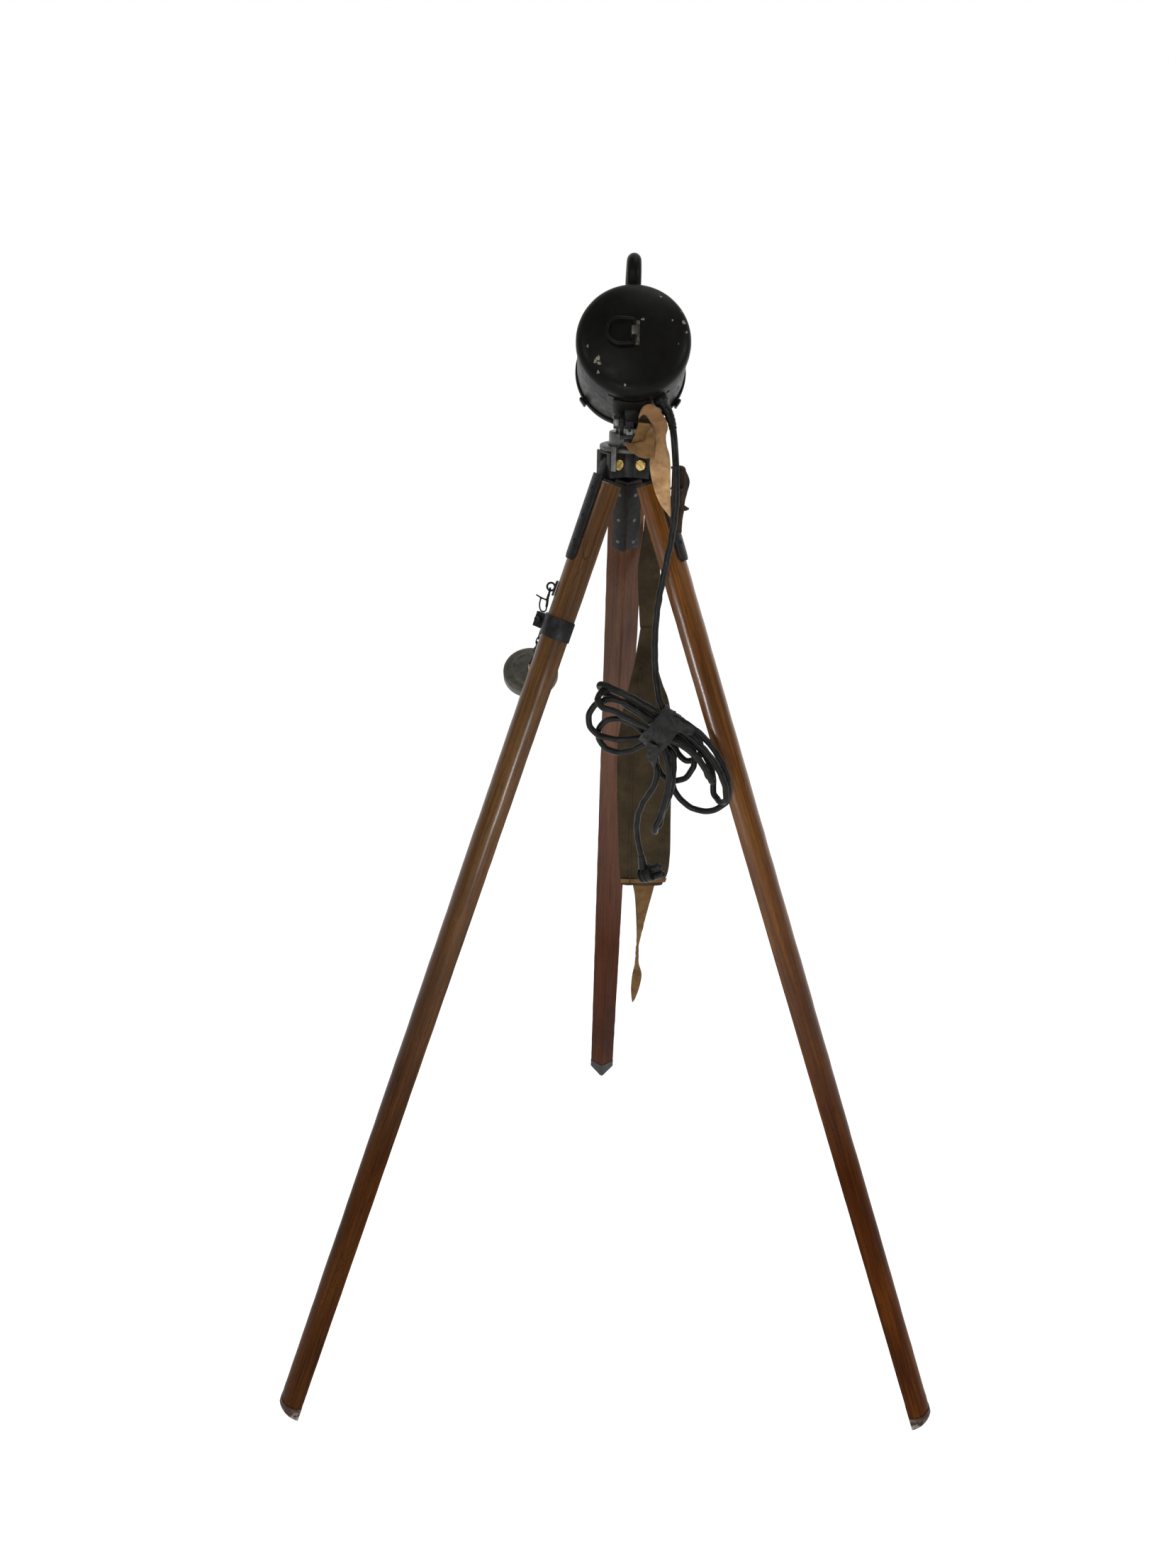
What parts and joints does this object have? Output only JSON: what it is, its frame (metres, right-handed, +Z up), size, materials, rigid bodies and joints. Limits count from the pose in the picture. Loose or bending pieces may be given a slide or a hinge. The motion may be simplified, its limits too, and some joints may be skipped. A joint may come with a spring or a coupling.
{
  "type": "tripod floor lamp",
  "caption": "Black drum signal lamp on a swivel head over a folding wooden tripod, with a leather sling, a dust cap on a chain and its flex tied in a hank.",
  "frame": {"origin": "on the floor, under the middle of the box of the rigid pieces", "axes": "+Z up; +X to the right and +Y to the front, the way the lamp shines; the rear leg is on +Y"},
  "size_m": [0.9192, 0.8016, 1.5139],
  "materials": {
    "lamp_paint": "worn satin black",
    "black_steel": "blackened steel, rubbed",
    "grey_steel": "dull grey",
    "bright_steel": "worn bright",
    "brass": "worn, slightly dull",
    "dark_wood": "varnished",
    "amber_wood": "glossy varnish",
    "red_wood": "varnished",
    "tan_leather": "suede",
    "dark_leather": "oiled",
    "olive_leather": "worn",
    "olive_paint": "worn satin",
    "flex_rubber": "satin",
    "clear_glass": "clear",
    "silvered": "polished"
  },
  "bodies": {
    "head": {"head_block": "black_steel", "head_socket": "grey_steel", "hinge_bolt_left": "brass", "hinge_bolt_right": "brass", "hinge_bolt_rear": "brass", "cord_drop": "flex_rubber", "cord_hank": "flex_rubber", "cord_tail": "flex_rubber", "plug_body": "flex_rubber", "plug_pin_upper": "black_steel", "plug_pin_lower": "black_steel", "sling_rear": "dark_leather", "sling_boot": "olive_leather", "sling_tail": "olive_leather"},
    "leg_left": {"leg_left": "dark_wood", "leg_left_tongue": "black_steel", "leg_left_inner_strap": "black_steel", "leg_left_outer_strap": "black_steel", "leg_left_shoe": "black_steel", "leg_collar": "black_steel", "collar_bolt": "grey_steel", "strap_staple": "grey_steel"},
    "leg_right": {"leg_right": "amber_wood", "leg_right_tongue": "black_steel", "leg_right_inner_strap": "black_steel", "leg_right_outer_strap": "black_steel", "leg_right_shoe": "black_steel"},
    "leg_rear": {"leg_rear": "red_wood", "leg_rear_tongue": "black_steel", "leg_rear_inner_strap": "black_steel", "leg_rear_outer_strap": "black_steel", "leg_rear_shoe": "black_steel"},
    "snap_hook": {"snap_hook": "black_steel"},
    "dust_cap": {"dust_cap": "olive_paint", "cap_chain": "black_steel"},
    "clamp_ring": {"clamp_ring": "olive_paint", "lock_lever": "grey_steel"},
    "swivel": {"swivel_fork": "black_steel", "tilt_bolt": "grey_steel", "clamp_screw": "black_steel", "sling_loop": "tan_leather", "sling_flap": "olive_leather", "sling_front": "tan_leather", "sling_buckle": "dark_leather"},
    "clamp_nut": {"clamp_nut": "bright_steel"},
    "lamp": {"drum_shell": "lamp_paint", "front_bezel": "lamp_paint", "lens": "clear_glass", "bezel_clip_left": "black_steel", "bezel_clip_right": "black_steel", "reflector": "silvered", "bulb": "clear_glass", "lamp_holder": "black_steel", "carry_handle": "lamp_paint", "saddle_bracket": "black_steel", "cord_gland": "black_steel", "cord_lead": "flex_rubber"},
    "rear_cap": {"rear_cap": "lamp_paint", "ring_lug": "grey_steel"},
    "pull_ring": {"pull_ring": "black_steel"}
  },
  "joints": [
    {"name": "leg_left_fold", "type": "hinge", "parent": "head", "child": "leg_left", "pos_m": [-0.02079, -0.13705, 1.29761], "axis": [0.5, -0.866, 0], "range_deg": [0, 21.3]},
    {"name": "leg_right_fold", "type": "hinge", "parent": "head", "child": "leg_right", "pos_m": [0.02079, -0.13705, 1.29761], "axis": [0.5, 0.866, 0], "range_deg": [0, 21.3]},
    {"name": "leg_rear_fold", "type": "hinge", "parent": "head", "child": "leg_rear", "pos_m": [0, -0.10105, 1.29761], "axis": [-1, 0, 0], "range_deg": [0, 21.3], "deforming": ["sling_boot"]},
    {"name": "ring_turn", "type": "hinge", "parent": "head", "child": "clamp_ring", "pos_m": [0, -0.12505, 1.31311], "axis": [0, 0, -1], "range_deg": [0, 28]},
    {"name": "lamp_pan", "type": "hinge", "parent": "head", "child": "swivel", "pos_m": [0, -0.12505, 1.33], "axis": [0, 0, 1], "range_deg": [-45, 45], "deforming": ["cord_drop", "sling_rear"]},
    {"name": "lamp_tilt", "type": "hinge", "parent": "swivel", "child": "lamp", "pos_m": [0, -0.15905, 1.34511], "axis": [1, 0, 0], "range_deg": [0, 35], "deforming": ["cord_lead"]},
    {"name": "nut_turn", "type": "hinge", "parent": "swivel", "child": "clamp_nut", "pos_m": [-0.002, -0.17805, 1.338], "axis": [0, 0, 1], "range_deg": [0, 90]},
    {"name": "cap_slide", "type": "slide", "parent": "lamp", "child": "rear_cap", "axis": [0, -0.866, 0.5], "range_m": [0, 0.08]},
    {"name": "ring_swing", "type": "hinge", "parent": "rear_cap", "child": "pull_ring", "pos_m": [0, -0.17511, 1.4411], "axis": [0, 0.5, 0.866], "range_deg": [0, 100]},
    {"name": "hook_swing", "type": "hinge", "parent": "leg_left", "child": "snap_hook", "pos_m": [-0.08933, -0.15643, 1.1527], "axis": [0.5, -0.866, 0], "range_deg": [-20, 0]},
    {"name": "dust_cap_swing", "type": "hinge", "parent": "leg_left", "child": "dust_cap", "pos_m": [-0.1003, -0.15205, 1.1148], "axis": [-0.0576, 0.4373, 0.8975], "range_deg": [0, 50]}
  ],
  "couplings": [
    {"joint": "dust_cap_swing", "follows": "leg_left_fold", "ratio": 2.325}
  ]
}
